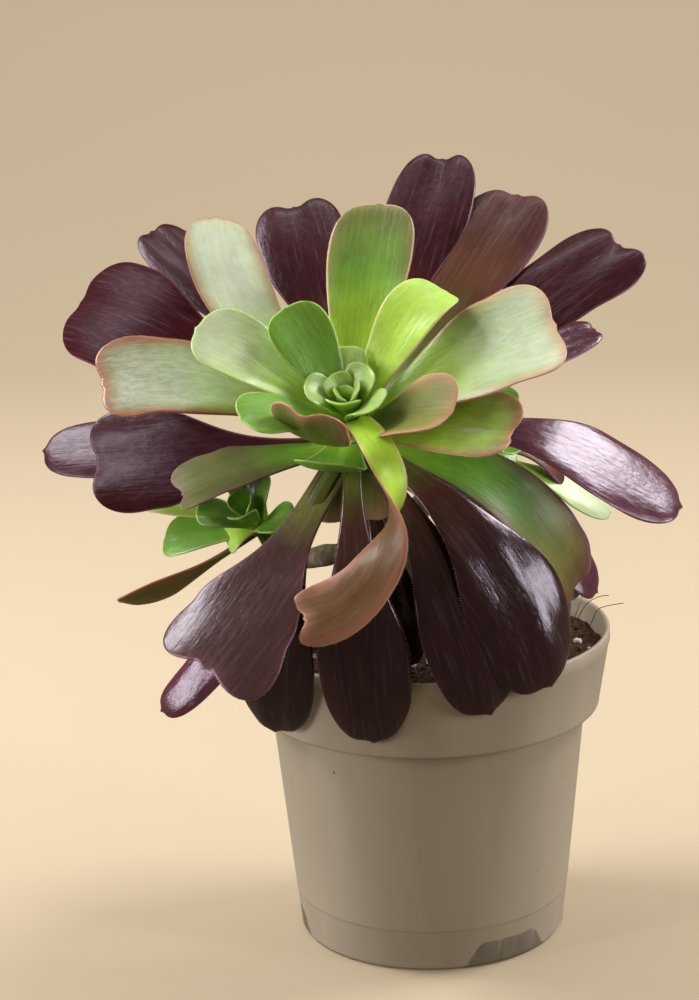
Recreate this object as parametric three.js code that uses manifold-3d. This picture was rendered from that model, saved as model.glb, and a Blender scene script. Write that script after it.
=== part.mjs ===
// A potted aeonium: one big leafy head on a short bent stem, with two side shoots, in a grower's pot.
// Millimetres, Z up. The origin is the middle of the pot's base. The big head leans towards -Y.
import * as THREE from "three";
import { mergeVertices } from "three/addons/utils/BufferGeometryUtils.js";
import Module from "manifold-3d";

const wasm = await Module();
wasm.setup();
const { degToRad, lerp, clamp } = THREE.MathUtils;

// Driving dimensions
const GAP = 0.3; // between two solids that touch
const CRUMB = 1; // mm³, the size below which a loose bit is dropped
// The pot's outer radii at the rim, the foot of its rim band, the top of its body and its base
const POT = {
  height: 103, rim: 60, bandFoot: 56.4, band: 26, body: 51.7, foot: 44,
  wall: 1.6, floor: 2, edge: 0.6,
};
const POT_SIDES = 60;
const NOTCH = { count: 3, height: 8.5, foot: 33, top: 24, depth: 8, first: 32, drain: 2.5 };
const SOIL = { top: 96, lump: 1.2, seed: 7 };
const STEM = {
  sides: 12,
  foot: [2, 5, 62],
  waist: [-1, 3, 100],
  bend: [-8, -1, 130],
  radii: [8, 7.5, 6.8, 5.6],
  branchRadii: [5, 3.6, 3, 2.8],
};
const HEAD = { tip: [-24, -30, 186], lean: 55, heading: 10 };
const LEAF_ROOT = 3; // how far from the big head's axis a leaf starts, inside the core
const SHOOT_ROOT = 0.8; // and how far in the thin core of a side shoot or the bud
const CORE = { foot: 42, split: 16, top: 3, radius: 5.4, topRadius: 2.6, sides: 10 };

// Leaf thickness: on the midrib at the base, near the tip, and the share that is left at the margin
const THICK = { base: 2.2, tip: 1.3, margin: 0.6 };

// A leaf's outline. base is the stalk's width as a share of the blade's, flare how late it widens,
// wide where it is widest along its length, square how far the end's corners are pushed out,
// notch and point the dent and the small tip in the end, groove the depth of the midrib's channel,
// cup the half angle in degrees of its hollow at the base and at the end, where below 0 it arches.
const BLADE = {
  base: 0.3, flare: 1.25, wide: 0.74, square: 0.1, notch: 0, point: 0.05, groove: 0, cup: [30, 10],
};
const STALKED = { ...BLADE, base: 0.2, flare: 1.8, cup: [30, -20] };
const HEART = { ...STALKED, notch: 0.15, groove: 0.2 };
const DIMPLED = { ...STALKED, square: 0.15, notch: 0.05, groove: 0.1 };
const BROAD = { ...STALKED, square: 0.3, notch: 0.08, groove: 0.2 };
const STRAP = { ...BLADE, base: 0.42, square: 0.45 };
const ROUND = { ...BLADE, base: 0.45 };
const FAN = { ...BLADE, square: 0.3 };
const LOBED = { ...BLADE, base: 0.35, square: 0.2, notch: 0.15, groove: 0.14 };
const WING = { ...STALKED, base: 0.26, flare: 3, square: 0.5, point: 0.12, wide: 0.8 };

// A leaf's bend outwards in degrees over its three thirds
const STRAIGHT = [0, 5, 10];
const NODDING = [0, 30, 30];
const HANGING = [30, 45, 30];

// Each leaf: turn is degrees round the head's axis, 0 at its right side and 90 at its upper side.
// rise is degrees above the plane across the axis, down how far below the head's tip it grows.
// bow is the bend outwards, sway the bend to its left, twist the turn about its own midrib over its
// length, roll the turn it starts with. A cup given here goes before its form's.
const MATURE = [
  { turn: 78, rise: 15, down: 19, length: 113, width: 29, bow: STRAIGHT, sway: [0, 8], form: HEART },
  { turn: 56, rise: 15, down: 19, length: 104, width: 32, bow: STRAIGHT, sway: [8, 8], form: DIMPLED },
  { turn: 36, rise: 15, down: 20, length: 106, width: 30, bow: STRAIGHT, sway: [5, 5], form: BROAD },
  { turn: 42, rise: 0, down: 27, length: 94, width: 16, bow: STRAIGHT, form: DIMPLED },
  { turn: 160, rise: 24, down: 20, length: 117, width: 37, bow: NODDING, roll: -25, form: DIMPLED },
  { turn: 132, rise: 10, down: 24, length: 118, width: 20, bow: STRAIGHT, form: DIMPLED },
  { turn: 108, rise: 15, down: 21, length: 95, width: 28, bow: STRAIGHT, form: BROAD },
  { turn: 172, rise: -5, down: 28, length: 110, width: 22, bow: STRAIGHT, roll: -15, form: STALKED },
  {
    turn: 186, rise: 0, down: 21, length: 84, width: 32,
    bow: [0, 15, 0], roll: -40, cup: [20, -25], form: BROAD,
  },
  { turn: 251, rise: 0, down: 19, length: 88, width: 35, bow: STRAIGHT, sway: [0, -15], form: WING },
  {
    turn: 246, rise: 0, down: 30, length: 106, width: 14,
    bow: NODDING, sway: [0, -15, -30], form: STALKED,
  },
  { turn: 251, rise: 15, down: 20, length: 108, width: 29, bow: HANGING, form: STALKED },
  { turn: 277, rise: 21, down: 19, length: 108, width: 29, bow: HANGING, form: STALKED },
  { turn: 303, rise: 26, down: 21, length: 108, width: 28, bow: HANGING, form: STALKED },
  { turn: 289, rise: 10, down: 24, length: 80, width: 18, bow: HANGING, form: STALKED },
  { turn: 317, rise: 26, down: 19, length: 112, width: 36, bow: HANGING, form: STALKED },
  { turn: 332, rise: -15, down: 24, length: 92, width: 22, bow: NODDING, form: STALKED },
  { turn: 347, rise: -10, down: 26, length: 92, width: 18, bow: NODDING, form: STALKED },
  { turn: 335, rise: 12, down: 25, length: 106, width: 22, bow: HANGING, form: STALKED },
  { turn: -1, rise: 18, down: 19, length: 109, width: 27, bow: [12, 45, 0], form: STALKED },
  { turn: 338, rise: 20, down: 19, length: 104, width: 25, bow: [20, 60, 35], form: STRAP },
  { turn: 202, rise: 5, down: 20, length: 53, width: 27, bow: STRAIGHT, roll: 20, form: STRAP },
  { turn: 275, rise: -10, down: 20, length: 24, width: 22, bow: STRAIGHT, form: STRAP },
];
const YOUNG = [
  { turn: 151, rise: 25, down: 13, length: 88, width: 24, bow: STRAIGHT, sway: [-20, -32], form: ROUND },
  { turn: 86, rise: 27, down: 8, length: 70, width: 27, bow: STRAIGHT, form: ROUND },
  { turn: 53, rise: 38, down: 8, length: 51, width: 20, bow: [0, 5, 70], form: ROUND },
  { turn: 19, rise: 25, down: 13, length: 68, width: 38, bow: STRAIGHT, form: FAN },
  { turn: 174, rise: 20, down: 12, length: 76, width: 30, bow: STRAIGHT, sway: [0, 25], form: FAN },
  { turn: 165, rise: 35, down: 8, length: 52, width: 25, bow: STRAIGHT, form: BLADE },
  { turn: 134, rise: 48, down: 5, length: 35, width: 20, bow: STRAIGHT, form: ROUND },
  { turn: 217, rise: 38, down: 7, length: 38, width: 20, bow: STRAIGHT, form: ROUND },
  { turn: 250, rise: 25, down: 9, length: 38, width: 25, bow: [0, -50, -20], form: LOBED },
  { turn: 345, rise: 22, down: 14, length: 55, width: 26, bow: STRAIGHT, form: LOBED },
  { turn: 338, rise: 40, down: 14, length: 42, width: 28, bow: STRAIGHT, cup: [50, 30], form: ROUND },
  {
    turn: 300, rise: 57, down: 8, length: 90, width: 17,
    bow: [70, 60, 0], sway: [0, 0, 60], twist: [0, -160, 0], form: STRAP,
  },
  { turn: 262, rise: 5, down: 14, length: 30, width: 22, bow: [0, -40, -30], form: ROUND },
];

const GOLDEN_ANGLE = 137.5;
// The bud in the middle of the big head, and the two side shoots: leaf i of count, by the golden angle
const BUD = { count: 9, first: 80, down: 3, from: [7, 6, 82], to: [22, 16, 50] };
const SHOOTS = {
  shoot_left: {
    head: { tip: [-56, -5, 144], lean: 50, heading: 35 },
    core: 15,
    stalk: [-28, 1, 128],
    leaves: [
      { turn: 182, rise: 10, down: 5, length: 44, width: 9, bow: STRAIGHT, form: BLADE },
      { turn: 200, rise: 5, down: 7, length: 34, width: 17, bow: STRAIGHT, form: ROUND },
      { turn: 225, rise: 15, down: 6, length: 12, width: 14, bow: NODDING, form: ROUND },
      { turn: 222, rise: -10, down: 9, length: 55, width: 15, bow: [0, -10, -10], roll: 70, form: STALKED },
    ],
    spiral: { count: 7, first: 20, down: 2, from: [8, 7, 80], to: [26, 15, 30] },
  },
  shoot_right: {
    head: { tip: [20, 9, 166], lean: 50, heading: -40 },
    core: 15,
    stalk: [0, 8, 143],
    leaves: [
      { turn: 60, rise: 20, down: 5, length: 40, width: 12, bow: STRAIGHT, form: BLADE },
      { turn: 290, rise: 10, down: 6, length: 14, width: 13, bow: STRAIGHT, form: ROUND },
      { turn: 328, rise: 10, down: 7, length: 42, width: 12, bow: NODDING, form: STALKED },
      { turn: 320, rise: 0, down: 9, length: 53, width: 15, bow: STRAIGHT, form: STALKED },
    ],
    spiral: { count: 7, first: 70, down: 2, from: [8, 7, 80], to: [26, 15, 30] },
  },
};

const vec = (p) => new THREE.Vector3(...p);

// The solid of a list of points and of triangles of their numbers
function solidOf(points, triangles) {
  const vertProperties = new Float32Array(points.flatMap((p) => [p.x, p.y, p.z]));
  const triVerts = new Uint32Array(triangles);
  return new wasm.Manifold(new wasm.Mesh({ numProp: 3, vertProperties, triVerts }));
}

function solidOfGeometry(geometry) {
  const bare = geometry.clone();
  bare.deleteAttribute("normal");
  bare.deleteAttribute("uv");
  const merged = mergeVertices(bare, 1e-4);
  const vertProperties = new Float32Array(merged.attributes.position.array);
  const triVerts = new Uint32Array(merged.index.array);
  return new wasm.Manifold(new wasm.Mesh({ numProp: 3, vertProperties, triVerts }));
}

function geometryOf(solid) {
  const { vertProperties, triVerts } = solid.getMesh();
  const geometry = new THREE.BufferGeometry();
  geometry.setAttribute("position", new THREE.BufferAttribute(new Float32Array(vertProperties), 3));
  geometry.setIndex(new THREE.BufferAttribute(new Uint32Array(triVerts), 1));
  geometry.computeVertexNormals();
  return geometry;
}

// A solid of revolution about Z from a profile of [radius, height] that starts and ends on the axis
function turned(profile) {
  const points = profile.map(([r, z]) => new THREE.Vector2(r, z));
  return solidOfGeometry(new THREE.LatheGeometry(points, POT_SIDES).rotateX(Math.PI / 2));
}

// A closed tube through rings of a given middle, direction and radius
function tube(rings, sides) {
  const points = [];
  const triangles = [];
  for (const { at, along, radius } of rings) {
    const side = new THREE.Vector3(1, 0.2, 0).cross(along).normalize();
    const other = along.clone().cross(side).normalize();
    for (let k = 0; k < sides; k++) {
      const a = (2 * Math.PI * k) / sides;
      const spoke = side.clone().multiplyScalar(Math.cos(a)).addScaledVector(other, Math.sin(a));
      points.push(at.clone().addScaledVector(spoke, radius));
    }
  }
  const last = (rings.length - 1) * sides;
  for (let ring = 0; ring < rings.length - 1; ring++) {
    for (let k = 0; k < sides; k++) {
      const a = ring * sides + k;
      const b = ring * sides + ((k + 1) % sides);
      triangles.push(a, b, b + sides, a, b + sides, a + sides);
    }
  }
  for (let k = 1; k < sides - 1; k++) {
    triangles.push(0, k + 1, k, last, last + k, last + k + 1);
  }
  return solidOf(points, triangles);
}

// A smooth tube through a few points, whose radius runs through a few values
function bentTube(path, radii, steps, sides) {
  const curve = new THREE.CatmullRomCurve3(path);
  const rings = [];
  for (let i = 0; i <= steps; i++) {
    const t = i / steps;
    const place = t * (radii.length - 1);
    const k = Math.min(Math.floor(place), radii.length - 2);
    const radius = lerp(radii[k], radii[k + 1], place - k);
    rings.push({ at: curve.getPoint(t), along: curve.getTangent(t), radius });
  }
  return tube(rings, sides);
}

// The place and directions of a head of leaves: its tip, its axis, and right and up as the viewer sees it
function headFrame({ tip, lean, heading }) {
  const e = degToRad(lean);
  const h = degToRad(heading);
  const axis = new THREE.Vector3(-Math.sin(h) * Math.cos(e), -Math.cos(h) * Math.cos(e), Math.sin(e));
  const right = new THREE.Vector3(0, 0, 1).cross(axis).normalize();
  return { tip: vec(tip), axis, right, up: axis.clone().cross(right) };
}

const below = (head, depth) => head.tip.clone().addScaledVector(head.axis, -depth);

// The rate of a bend at t, from the degrees that it turns in equal stretches
function bendRate(parts, t) {
  const place = clamp(t * parts.length - 0.5, 0, parts.length - 1);
  const k = Math.min(Math.floor(place), parts.length - 2);
  return degToRad(lerp(parts[k], parts[k + 1], place - k) * parts.length);
}

// The midrib as a row of frames: along it, out of the upper face, and to its left
function midrib(leaf, head) {
  const steps = 30;
  const turn = degToRad(leaf.turn);
  const rise = degToRad(leaf.rise);
  const out = head.right.clone().multiplyScalar(Math.cos(turn)).addScaledVector(head.up, Math.sin(turn));
  const along = out.clone().multiplyScalar(Math.cos(rise)).addScaledVector(head.axis, Math.sin(rise));
  const face = out.clone().multiplyScalar(-Math.sin(rise)).addScaledVector(head.axis, Math.cos(rise));
  const left = face.clone().cross(along);
  const at = below(head, leaf.down).addScaledVector(out, leaf.out ?? LEAF_ROOT);
  const turnBy = (about, angle) => [along, face, left].forEach((v) => v.applyAxisAngle(about, angle));
  turnBy(along.clone(), degToRad(leaf.roll ?? 0));
  const frames = [{ at: at.clone(), along: along.clone(), face: face.clone(), left: left.clone() }];
  for (let i = 0; i < steps; i++) {
    const t = (i + 0.5) / steps;
    turnBy(left.clone(), bendRate(leaf.bow, t) / steps);
    turnBy(face.clone(), bendRate(leaf.sway ?? [0, 0], t) / steps);
    turnBy(along.clone(), bendRate(leaf.twist ?? [0, 0], t) / steps);
    at.addScaledVector(along, leaf.length / steps);
    frames.push({ at: at.clone(), along: along.clone(), face: face.clone(), left: left.clone() });
  }
  return frames;
}

// The frame at a share of the length, and straight on past the end
function frameAt(frames, share, length) {
  const place = clamp(share, 0, 1) * (frames.length - 1);
  const k = Math.min(Math.floor(place), frames.length - 2);
  const between = (key) => frames[k][key].clone().lerp(frames[k + 1][key], place - k);
  const along = between("along").normalize();
  const at = between("at").addScaledVector(along, Math.max(share - 1, 0) * length);
  return { at, along, face: between("face").normalize(), left: between("left").normalize() };
}

const bell = (x, width) => Math.exp(-((x / width) ** 2));

// Rows of flat outline points: x along the midrib and y to its left, for columns v from -1 to 1
function outlineRows(leaf, columns, bladeRows, tipRows) {
  const { base, flare, wide, square, notch, point } = leaf.form;
  const half = leaf.width / 2;
  const rows = [];
  for (let i = 0; i <= bladeRows; i++) {
    const t = i / bladeRows;
    const swell = Math.sin((Math.PI / 2) * t ** flare) ** 1.6;
    rows.push(columns.map((v) => ({ x: t * wide * leaf.length, y: half * lerp(base, 1, swell) * v })));
  }
  const cap = (1 - wide) * leaf.length;
  for (let i = 1; i <= tipRows; i++) {
    const p = i / tipRows;
    const row = columns.map((v) => {
      const x = p * Math.sqrt(1 - (v * v) / 2);
      const y = v * Math.sqrt(1 - (p * p) / 2);
      const corner = 1 + square * (2 * x * y) ** 2;
      const dent = notch * p ** 2 * bell(y * corner, 0.25);
      const tip = point * p ** 4 * bell(y * corner, 0.09);
      return { x: wide * leaf.length + cap * (x * corner - dent + tip), y: half * y * corner };
    });
    rows.push(row);
  }
  return rows;
}

// A leaf as a closed solid: two alike faces round its middle surface, and a thin edge
function leafSolid(leaf, head, { columns, bladeRows, tipRows }) {
  const frames = midrib(leaf, head);
  const [cupBase, cupEnd] = leaf.cup ?? leaf.form.cup;
  const half = leaf.width / 2;
  const rows = outlineRows(leaf, columns, bladeRows, tipRows);
  const upper = [];
  const lower = [];
  for (const row of rows) {
    for (const { x, y } of row) {
      const share = x / leaf.length;
      const { at, face, left } = frameAt(frames, share, leaf.length);
      const hollow = degToRad(lerp(cupBase, cupEnd, clamp(share, 0, 1)));
      const across = y / half;
      const angle = across * hollow;
      const radius = half / hollow;
      const end = clamp((share - 0.45) / 0.55, 0, 1) ** 1.5;
      const channel = leaf.form.groove * bell(across, 0.3) * end * half;
      const middle = at.clone().addScaledVector(left, radius * Math.sin(angle));
      middle.addScaledVector(face, radius * (1 - Math.cos(angle)) - channel);
      const normal = face.clone().multiplyScalar(Math.cos(angle)).addScaledVector(left, -Math.sin(angle));
      const onRib = lerp(THICK.base, THICK.tip, clamp(share, 0, 1));
      const thick = onRib * lerp(1, THICK.margin, across ** 2);
      upper.push(middle.clone().addScaledVector(normal, thick / 2));
      lower.push(middle.clone().addScaledVector(normal, -thick / 2));
    }
  }
  const n = columns.length;
  const count = rows.length * n;
  const triangles = [];
  for (let i = 0; i < rows.length - 1; i++) {
    for (let j = 0; j < n - 1; j++) {
      const a = i * n + j;
      const [b, c, d] = [a + n, a + n + 1, a + 1];
      triangles.push(a, b, c, a, c, d);
      triangles.push(count + a, count + c, count + b, count + a, count + d, count + c);
    }
  }
  const border = [];
  for (let j = 0; j < n - 1; j++) border.push(j);
  for (let i = 0; i < rows.length - 1; i++) border.push(i * n + n - 1);
  for (let j = n - 1; j > 0; j--) border.push((rows.length - 1) * n + j);
  for (let i = rows.length - 1; i > 0; i--) border.push(i * n);
  border.forEach((a, k) => {
    const b = border[(k + 1) % border.length];
    triangles.push(a, b, count + b, a, count + b, count + a);
  });
  const solid = solidOf([...upper, ...lower], triangles);
  return solid.volume() < 0 ? solidOf([...upper, ...lower], triangles.toReversed()) : solid;
}

// How finely a leaf is drawn: a broad one, one of middle size and a small one
const FINE = { columns: [-1, -0.5, 0, 0.5, 1], bladeRows: 5, tipRows: 2 };
const PLAIN = { columns: [-1, -0.4, 0.4, 1], bladeRows: 5, tipRows: 1 };
const SMALL = { columns: [-1, -0.4, 0.4, 1], bladeRows: 3, tipRows: 1 };
const BROAD_FROM = 33;
const drawn = (leaf) => (leaf.width >= BROAD_FROM ? FINE : PLAIN);

// Solids joined in one, without the crumbs and the pinholes that a join can leave
function joined(solids) {
  const pieces = wasm.Manifold.union(solids).decompose().filter((piece) => piece.volume() > CRUMB);
  return pieces.length > 1 ? wasm.Manifold.union(pieces) : pieces[0];
}

// Small leaves set by the golden angle, from the youngest in the middle to the oldest outside
function spiralLeaves({ count, first, down, from, to }) {
  const leaves = [];
  for (let i = 0; i < count; i++) {
    const age = i / (count - 1);
    const [length, width, rise] = from.map((value, k) => lerp(value, to[k], age));
    const place = { turn: first + GOLDEN_ANGLE * i, rise, down: down + 6 * age, out: SHOOT_ROOT };
    leaves.push({ ...place, length, width, bow: [0, 8, 16 * age], form: ROUND, cup: [45, 30] });
  }
  return leaves;
}

function coreSolid(head, from, to, radiusFrom, radiusTo) {
  const middle = (from + to) / 2;
  const ring = (depth, radius) => ({ at: below(head, depth), along: head.axis, radius });
  const rings = [ring(from, radiusFrom), ring(middle, (radiusFrom + radiusTo) / 2), ring(to, radiusTo)];
  return tube(rings, CORE.sides);
}

function makePot() {
  const { height, rim, bandFoot, band, body, foot, wall, floor, edge } = POT;
  const ledge = height - band;
  const outside = turned([
    [0, 0], [foot - 2 * edge, 0], [foot, 2 * edge], [body, ledge],
    [bandFoot - 2 * edge, ledge], [bandFoot, ledge + 2 * edge],
    [rim, height - edge], [rim - edge, height], [0, height],
  ]);
  const slope = (body - foot) / ledge;
  const hollow = turned([
    [0, floor], [foot - wall + slope * floor - 1, floor], [foot - wall + slope * (floor + 1), floor + 1],
    [body - wall, ledge + 1], [bandFoot - wall, ledge + 3], [rim - wall, height + 1], [0, height + 1],
  ]);
  const walled = outside.subtract(hollow.subtract(joined(notches(wall))));
  return walled.subtract(joined(notches(0))).subtract(joined(drains()));
}

// The pockets that step in from the pot's foot, grown by a wall
function notches(grow) {
  const { count, height, foot, top, depth, first } = NOTCH;
  const inner = POT.foot - depth - grow;
  const outer = POT.body + 1;
  const shape = new THREE.Shape();
  shape.moveTo(-foot / 2 - grow, -1);
  shape.lineTo(foot / 2 + grow, -1);
  shape.lineTo(top / 2 + grow, height - 2 + grow);
  shape.lineTo(top / 2 - 2, height + grow);
  shape.lineTo(2 - top / 2, height + grow);
  shape.lineTo(-top / 2 - grow, height - 2 + grow);
  const prism = new THREE.ExtrudeGeometry(shape, { depth: outer - inner, bevelEnabled: false });
  prism.translate(0, 0, inner).rotateX(Math.PI / 2);
  return Array.from({ length: count }, (_, i) => {
    const turn = -90 + first + (360 / count) * i;
    return solidOfGeometry(prism.clone().rotateZ(degToRad(turn + 90)));
  });
}

// A drain hole through the roof of each pocket
function drains() {
  const { count, first, drain, depth, height } = NOTCH;
  return Array.from({ length: count }, (_, i) => {
    const turn = degToRad(-90 + first + (360 / count) * i);
    const reach = POT.foot - depth / 2 - 1;
    const hole = new THREE.CylinderGeometry(drain, drain, 4, 10).rotateX(Math.PI / 2);
    return solidOfGeometry(hole.translate(reach * Math.cos(turn), reach * Math.sin(turn), height + 0.8));
  });
}

// Even, repeatable noise from 0 to 1
function noiseFrom(seed) {
  let state = seed;
  return () => {
    state = (state * 16807) % 2147483647;
    return state / 2147483647;
  };
}

function makeSoil(stemHole) {
  const { top, lump, seed } = SOIL;
  const { height, rim, bandFoot, band, body, foot, wall, floor } = POT;
  const ledge = height - band;
  const slope = (body - foot) / ledge;
  const inset = wall + GAP;
  const edge = lerp(bandFoot, rim, (top - ledge) / band) - inset - 0.2;
  const noise = noiseFrom(seed);
  const rings = 4;
  const sides = 30;
  const reachAt = [
    [foot - inset + slope * floor - 1, floor + GAP],
    [body - inset - 0.3, ledge + 1],
    [bandFoot - inset - 0.4, ledge + 4],
  ];
  const points = [new THREE.Vector3(0, 0, floor + GAP)];
  const ringOf = (radius, heightAt) => {
    for (let k = 0; k < sides; k++) {
      const a = (2 * Math.PI * k) / sides;
      points.push(new THREE.Vector3(radius * Math.cos(a), radius * Math.sin(a), heightAt()));
    }
  };
  reachAt.forEach(([radius, z]) => ringOf(radius, () => z));
  for (let ring = rings; ring > 0; ring--) {
    const share = ring / rings;
    ringOf(edge * share, () => top + lump * (2 * noise() - 1) * (share < 1 ? 1 : 0.3) + 2 * (1 - share));
  }
  points.push(new THREE.Vector3(0, 0, top + 2));
  const triangles = [];
  const total = reachAt.length + rings;
  for (let k = 0; k < sides; k++) {
    const next = (k + 1) % sides;
    triangles.push(0, 1 + next, 1 + k);
    for (let ring = 0; ring < total - 1; ring++) {
      const a = 1 + ring * sides;
      triangles.push(a + k, a + next, a + sides + next, a + k, a + sides + next, a + sides + k);
    }
    const a = 1 + (total - 1) * sides;
    triangles.push(a + k, a + next, points.length - 1);
  }
  return solidOf(points, triangles).subtract(joined(notches(wall + GAP))).subtract(stemHole);
}

// The bare stem from the soil to the big head, and a branch to each side shoot
function stemSolids(head, grow) {
  const foot = vec(STEM.foot);
  foot.z -= grow;
  const neck = [below(head, CORE.foot + 10), below(head, CORE.foot + GAP)];
  const path = [foot, vec(STEM.waist), vec(STEM.bend), ...neck];
  const radii = STEM.radii.map((r) => r + grow);
  return bentTube(path, radii, 12, STEM.sides);
}

function makeStem(head) {
  const branches = Object.values(SHOOTS).map(({ head: place, core, stalk }) => {
    const shoot = headFrame(place);
    const end = below(shoot, core + GAP);
    const before = below(shoot, core + 12);
    return bentTube([vec(STEM.bend), vec(stalk), before, end], STEM.branchRadii, 10, 9);
  });
  return joined([stemSolids(head, 0), ...branches]);
}

function makeShoot({ head: place, core, leaves, spiral }) {
  const head = headFrame(place);
  const all = [...leaves.map((leaf) => ({ ...leaf, out: SHOOT_ROOT })), ...spiralLeaves(spiral)];
  const blades = all.map((leaf) => leafSolid(leaf, head, SMALL));
  return joined([coreSolid(head, core, spiral.down - 1, 3, 1.8), ...blades]);
}

function makeYoung(head) {
  const { split, top, radius, topRadius } = CORE;
  const leaves = YOUNG.map((leaf) => leafSolid(leaf, head, drawn(leaf)));
  const bud = spiralLeaves(BUD).map((leaf) => leafSolid(leaf, head, SMALL));
  return joined([coreSolid(head, split - GAP / 2, top, radius * 0.9, topRadius), ...leaves, ...bud]);
}

function makeMature(head) {
  const { foot, split, radius } = CORE;
  const leaves = MATURE.map((leaf) => leafSolid(leaf, head, drawn(leaf)));
  return joined([coreSolid(head, foot, split + GAP / 2, STEM.radii.at(-1), radius * 0.9), ...leaves]);
}

const FINISH = {
  plastic: { color: 0xa09482, roughness: 0.45 },
  earth: { color: 0x3b2418, roughness: 0.95 },
  bark: { color: 0x7a6a52, roughness: 0.85 },
  purple: { color: 0x3a1a2c, roughness: 0.3 },
  green: { color: 0x7aa63c, roughness: 0.4 },
  lime: { color: 0x8cbf48, roughness: 0.4 },
};

const plant = new THREE.Group();
function add(name, solid, finish) {
  const material = new THREE.MeshStandardMaterial({ metalness: 0, ...FINISH[finish] });
  const mesh = new THREE.Mesh(geometryOf(solid), material);
  mesh.name = name;
  plant.add(mesh);
}

const bigHead = headFrame(HEAD);
add("pot", makePot(), "plastic");
add("soil", makeSoil(stemSolids(bigHead, GAP)), "earth");
add("stem", makeStem(bigHead), "bark");
add("mature_leaves", makeMature(bigHead), "purple");
add("young_leaves", makeYoung(bigHead), "green");
for (const [name, shoot] of Object.entries(SHOOTS)) add(name, makeShoot(shoot), "lime");

export default plant;
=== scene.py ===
import math

import bpy
import numpy as np
from mathutils import Matrix, Vector


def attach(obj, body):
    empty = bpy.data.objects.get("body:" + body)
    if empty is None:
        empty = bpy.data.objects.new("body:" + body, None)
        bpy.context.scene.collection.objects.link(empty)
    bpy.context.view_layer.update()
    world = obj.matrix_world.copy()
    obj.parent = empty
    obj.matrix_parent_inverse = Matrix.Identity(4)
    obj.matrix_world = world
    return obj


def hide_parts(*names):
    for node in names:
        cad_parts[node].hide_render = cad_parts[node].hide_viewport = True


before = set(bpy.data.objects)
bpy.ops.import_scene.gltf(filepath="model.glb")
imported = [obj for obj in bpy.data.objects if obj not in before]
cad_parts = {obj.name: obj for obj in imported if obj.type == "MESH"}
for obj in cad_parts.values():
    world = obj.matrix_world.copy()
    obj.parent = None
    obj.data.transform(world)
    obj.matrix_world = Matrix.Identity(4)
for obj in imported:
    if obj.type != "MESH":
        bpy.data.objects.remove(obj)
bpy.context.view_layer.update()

MM = 0.001

# The viewpoint: elevation and roll in degrees
VIEW = {"target": (-24, 0, 146), "distance": 810, "elevation": 14.8, "roll": -1.7, "lens": 90, "sensor": 36}

# The pot: its height and its rim band's, its outer radii at the rim, the band's foot, the top of the body and
# the base, and how thick its wall and its floor are
POT = {
    "height": 103, "rim": 60, "band_foot": 56.4, "band": 26, "body": 51.7, "foot": 44,
    "wall": 1.6, "floor": 2,
}
LEDGE = POT["height"] - POT["band"]
SLOPE = (POT["body"] - POT["foot"]) / LEDGE
# The pockets that step in from the pot's foot: how many and how high, their widths at the foot and the top,
# how deep they go, the turn of the first one in degrees, and the radius of each one's drain hole
NOTCH = {"count": 3, "height": 8.5, "foot": 33, "top": 24, "depth": 8, "first": 32, "drain": 2.5}
# The height of the potting mix, and how far from the middle loose bits lie on it
SOIL_TOP = 96
SOIL_REACH = 55
STEM = {"foot": (2, 5, 88), "waist": (-1, 3, 100), "bend": (-8, -1, 130), "radii": (8.4, 7.5, 6.8, 5.8)}
BRANCH_RADII = (5, 3.6, 3, 2.8)
HEAD = {"tip": (-24, -30, 186), "lean": 55, "heading": 10}
CORE = {"foot": 42, "split": 16, "top": 3, "radius": 5.4, "top_radius": 2.6}
LEAF_ROOT = 3
SHOOT_ROOT = 0.8
# A leaf's thickness at its base and its tip, its share at the margin, and how far in from there it is full
THICK = {"base": 2.2, "tip": 1.2, "margin": 0.35, "fade": 3.5}
# Widths of the dent and the small tip in a leaf's end, of its channel and of its keel, as shares of its half
# width, and the keel's height
ENDING = {"dent": 0.25, "point": 0.09, "channel": 0.35, "keel": 0.12, "keel_height": 0.5}
# Waves along the middle and the margin: how high, and the length over which each turns by one radian. folds
# is by how many radians the lengthwise folds turn across half a leaf
RIPPLE = {"middle": 0.3, "middle_length": 9, "margin": 0.4, "margin_length": 6, "folds": 8}
# How far the margin's pigment runs inwards
BAND = 2.8
# How far apart the leaves, and a leaf's two faces, lie in the skin's pattern
PATTERN = {"leaf": 137, "face": 61}
GOLDEN_ANGLE = 137.5

# A leaf's outline, in the CAD's terms, though a few values differ from the CAD's.
# base is the stalk's width as a share of the blade's, flare how late it widens, wide where it is widest,
# square how far the end's corners are pushed out, notch and point the dent and the small tip in its end,
# groove the depth of the midrib's channel, and cup the half angle of its hollow at the base and at the end,
# where below 0 it arches. folds is the height of lengthwise folds in mm.
BLADE = {
    "base": 0.3, "flare": 1.25, "wide": 0.74, "square": 0.1, "notch": 0, "point": 0.05, "groove": 0.02,
    "cup": (30, 10),
}
STALKED = {**BLADE, "base": 0.17, "flare": 2.2, "cup": (30, -20)}
ARCHED = {**STALKED, "cup": (30, -45), "folds": 0.3}
HEART = {**STALKED, "notch": 0.12, "groove": 0.14}
BROAD = {**STALKED, "square": 0.3, "notch": 0.05, "groove": 0.08}
DIMPLED = {**STALKED, "square": 0.15, "notch": 0.05, "groove": 0.1}
FAN = {**BLADE, "square": 0.3}
LOBED = {**BLADE, "base": 0.35, "square": 0.2, "notch": 0.15, "groove": 0.14}
STRAP = {**BLADE, "base": 0.42, "square": 0.45}
ROUND = {**BLADE, "base": 0.45}
WING = {**STALKED, "base": 0.26, "flare": 3, "square": 0.5, "point": 0.12, "wide": 0.8}

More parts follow.
